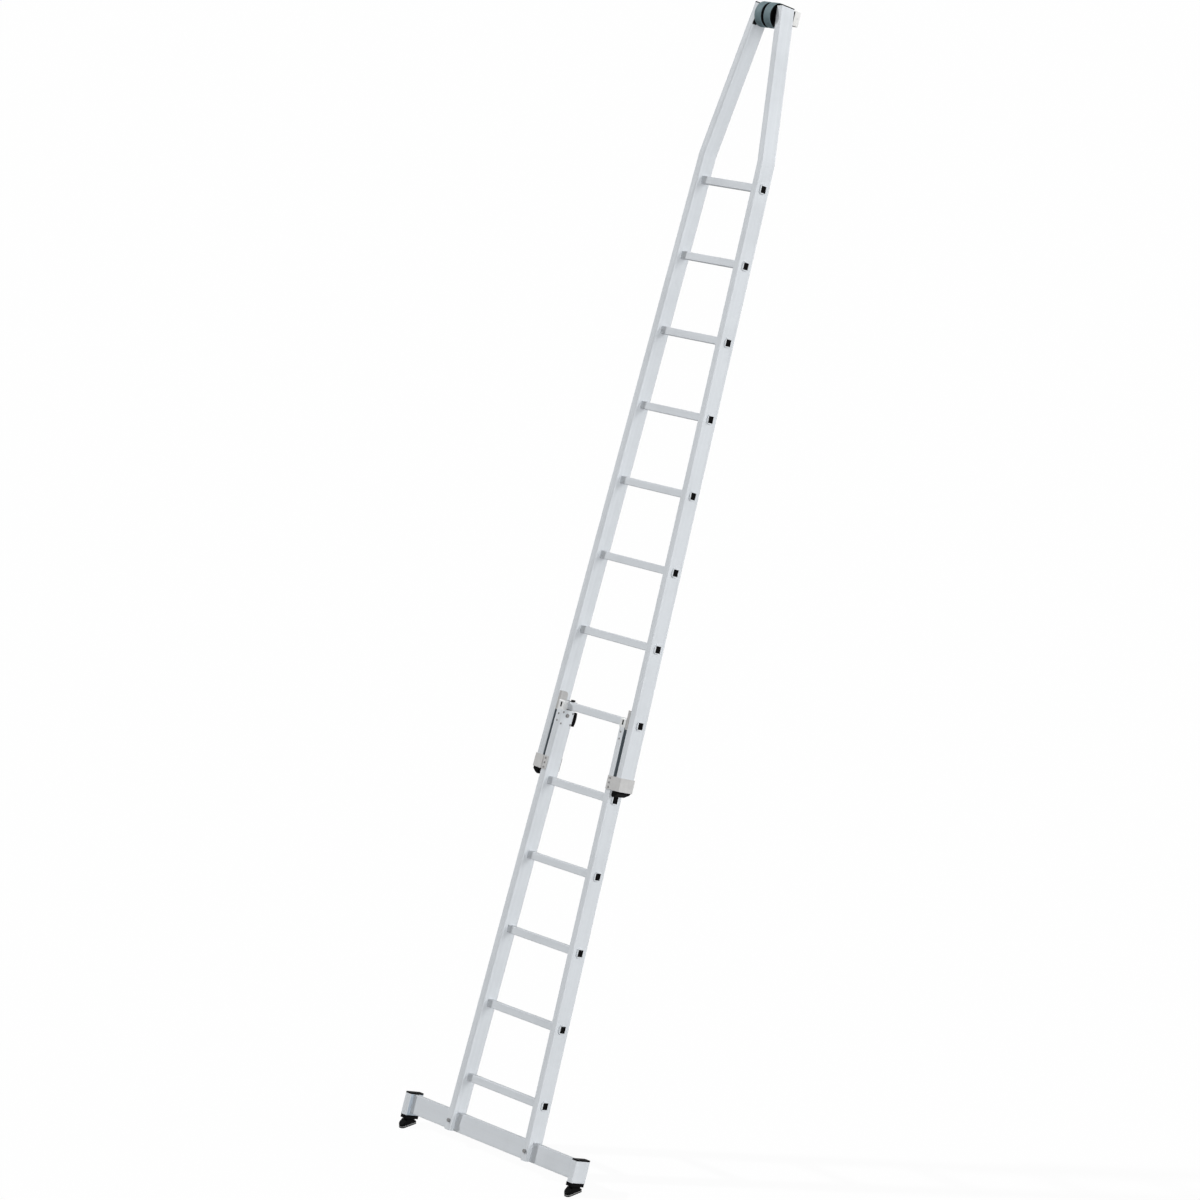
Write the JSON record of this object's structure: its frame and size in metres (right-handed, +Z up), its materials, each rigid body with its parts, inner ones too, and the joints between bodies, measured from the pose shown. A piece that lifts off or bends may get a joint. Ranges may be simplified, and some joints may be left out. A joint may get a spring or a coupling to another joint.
{
  "type": "window cleaning ladder",
  "caption": "Two-section A-shaped aluminium window cleaning ladder, leaned back on a wide foot bar with swivelling feet; wheels and a wall pad at the narrow top.",
  "frame": {"origin": "On the floor, midway between the two feet, straight below the pivots of the feet.", "axes": "+Z is up. +X runs along the foot bar to the right-hand foot as seen from the front. +Y points from the front, where the climber stands, to the wall the ladder leans towards."},
  "size_m": [0.895, 1.5636, 4.0305],
  "materials": {
    "aluminium_profile": "natural mill-finished aluminium extrusion",
    "cast_aluminium": "matt cast aluminium",
    "grey_bracket": "light warm grey",
    "steel_fixings": "zinc-plated steel",
    "black_plastic": "black moulded plastic",
    "black_rubber": "black rubber",
    "slate_tread": "slate grey soft tread",
    "white_foam": "off-white dense foam"
  },
  "bodies": {
    "lower_section": {"lower_stile_left": "aluminium_profile", "lower_stile_right": "aluminium_profile", "lower_rung_1": "aluminium_profile", "lower_rung_2": "aluminium_profile", "lower_rung_3": "aluminium_profile", "lower_rung_4": "aluminium_profile", "lower_rung_5": "aluminium_profile", "lower_rung_plugs": "black_plastic", "traverse": "aluminium_profile", "traverse_bolts": "steel_fixings", "traverse_nuts": "steel_fixings", "end_tube_left": "aluminium_profile", "end_tube_right": "aluminium_profile", "end_tube_caps": "black_plastic", "foot_socket_left": "black_plastic", "foot_socket_right": "black_plastic", "foot_pivot_pins": "steel_fixings", "top_fork_left": "cast_aluminium", "top_fork_right": "cast_aluminium", "seat_liner_left": "black_plastic", "seat_liner_right": "black_plastic", "fork_rivets": "steel_fixings", "latch_bolts": "steel_fixings", "latch_nuts": "steel_fixings"},
    "upper_section": {"upper_stile_left": "aluminium_profile", "upper_stile_right": "aluminium_profile", "upper_rung_1": "aluminium_profile", "upper_rung_2": "aluminium_profile", "upper_rung_3": "aluminium_profile", "upper_rung_4": "aluminium_profile", "upper_rung_5": "aluminium_profile", "upper_rung_6": "aluminium_profile", "upper_rung_7": "aluminium_profile", "upper_rung_8": "aluminium_profile", "upper_rung_plugs": "black_plastic", "guide_bracket_left": "grey_bracket", "guide_bracket_right": "grey_bracket", "glide_strips": "black_plastic", "bracket_rivets": "steel_fixings", "stile_end_foot_left": "black_plastic", "stile_end_foot_right": "black_plastic", "stile_spacer_left": "grey_bracket", "stile_spacer_right": "grey_bracket", "tip_cap_left": "black_plastic", "tip_cap_right": "black_plastic", "wheel_axle": "steel_fixings", "axle_spacer": "steel_fixings", "wall_pad_carrier": "black_plastic", "wall_pad": "white_foam", "pad_screws": "steel_fixings"},
    "foot_left": {"foot_left": "black_plastic", "foot_pad_left": "black_rubber"},
    "latch_left": {"latch_left": "black_plastic"},
    "wheel_left": {"wheel_hub_left": "black_plastic", "wheel_tyre_left": "slate_tread"},
    "foot_right": {"foot_right": "black_plastic", "foot_pad_right": "black_rubber"},
    "latch_right": {"latch_right": "black_plastic"},
    "wheel_right": {"wheel_hub_right": "black_plastic", "wheel_tyre_right": "slate_tread"}
  },
  "joints": [
    {"name": "section_lift", "type": "slide", "parent": "lower_section", "child": "upper_section", "axis": [0, 0.342, 0.9397], "range_m": [0, 0.15]},
    {"name": "foot_swivel_left", "type": "hinge", "parent": "lower_section", "child": "foot_left", "pos_m": [-0.433, 0, 0.0315], "axis": [1, 0, 0], "range_deg": [-8, 8]},
    {"name": "foot_swivel_right", "type": "hinge", "parent": "lower_section", "child": "foot_right", "pos_m": [0.433, 0, 0.0315], "axis": [1, 0, 0], "range_deg": [-8, 8]},
    {"name": "latch_swing_left", "type": "hinge", "parent": "lower_section", "child": "latch_left", "pos_m": [-0.15764, 0.53361, 1.52097], "axis": [0.9997, -0.009, -0.0246], "range_deg": [-4, 7.5]},
    {"name": "latch_swing_right", "type": "hinge", "parent": "lower_section", "child": "latch_right", "pos_m": [0.15764, 0.53361, 1.52097], "axis": [0.9997, 0.009, 0.0246], "range_deg": [-4, 7.5]},
    {"name": "wheel_spin_left", "type": "hinge", "parent": "upper_section", "child": "wheel_left", "pos_m": [0, 1.42266, 3.98407], "axis": [1, 0, 0], "continuous": true},
    {"name": "wheel_spin_right", "type": "hinge", "parent": "upper_section", "child": "wheel_right", "pos_m": [0, 1.42266, 3.98407], "axis": [1, 0, 0], "continuous": true}
  ]
}
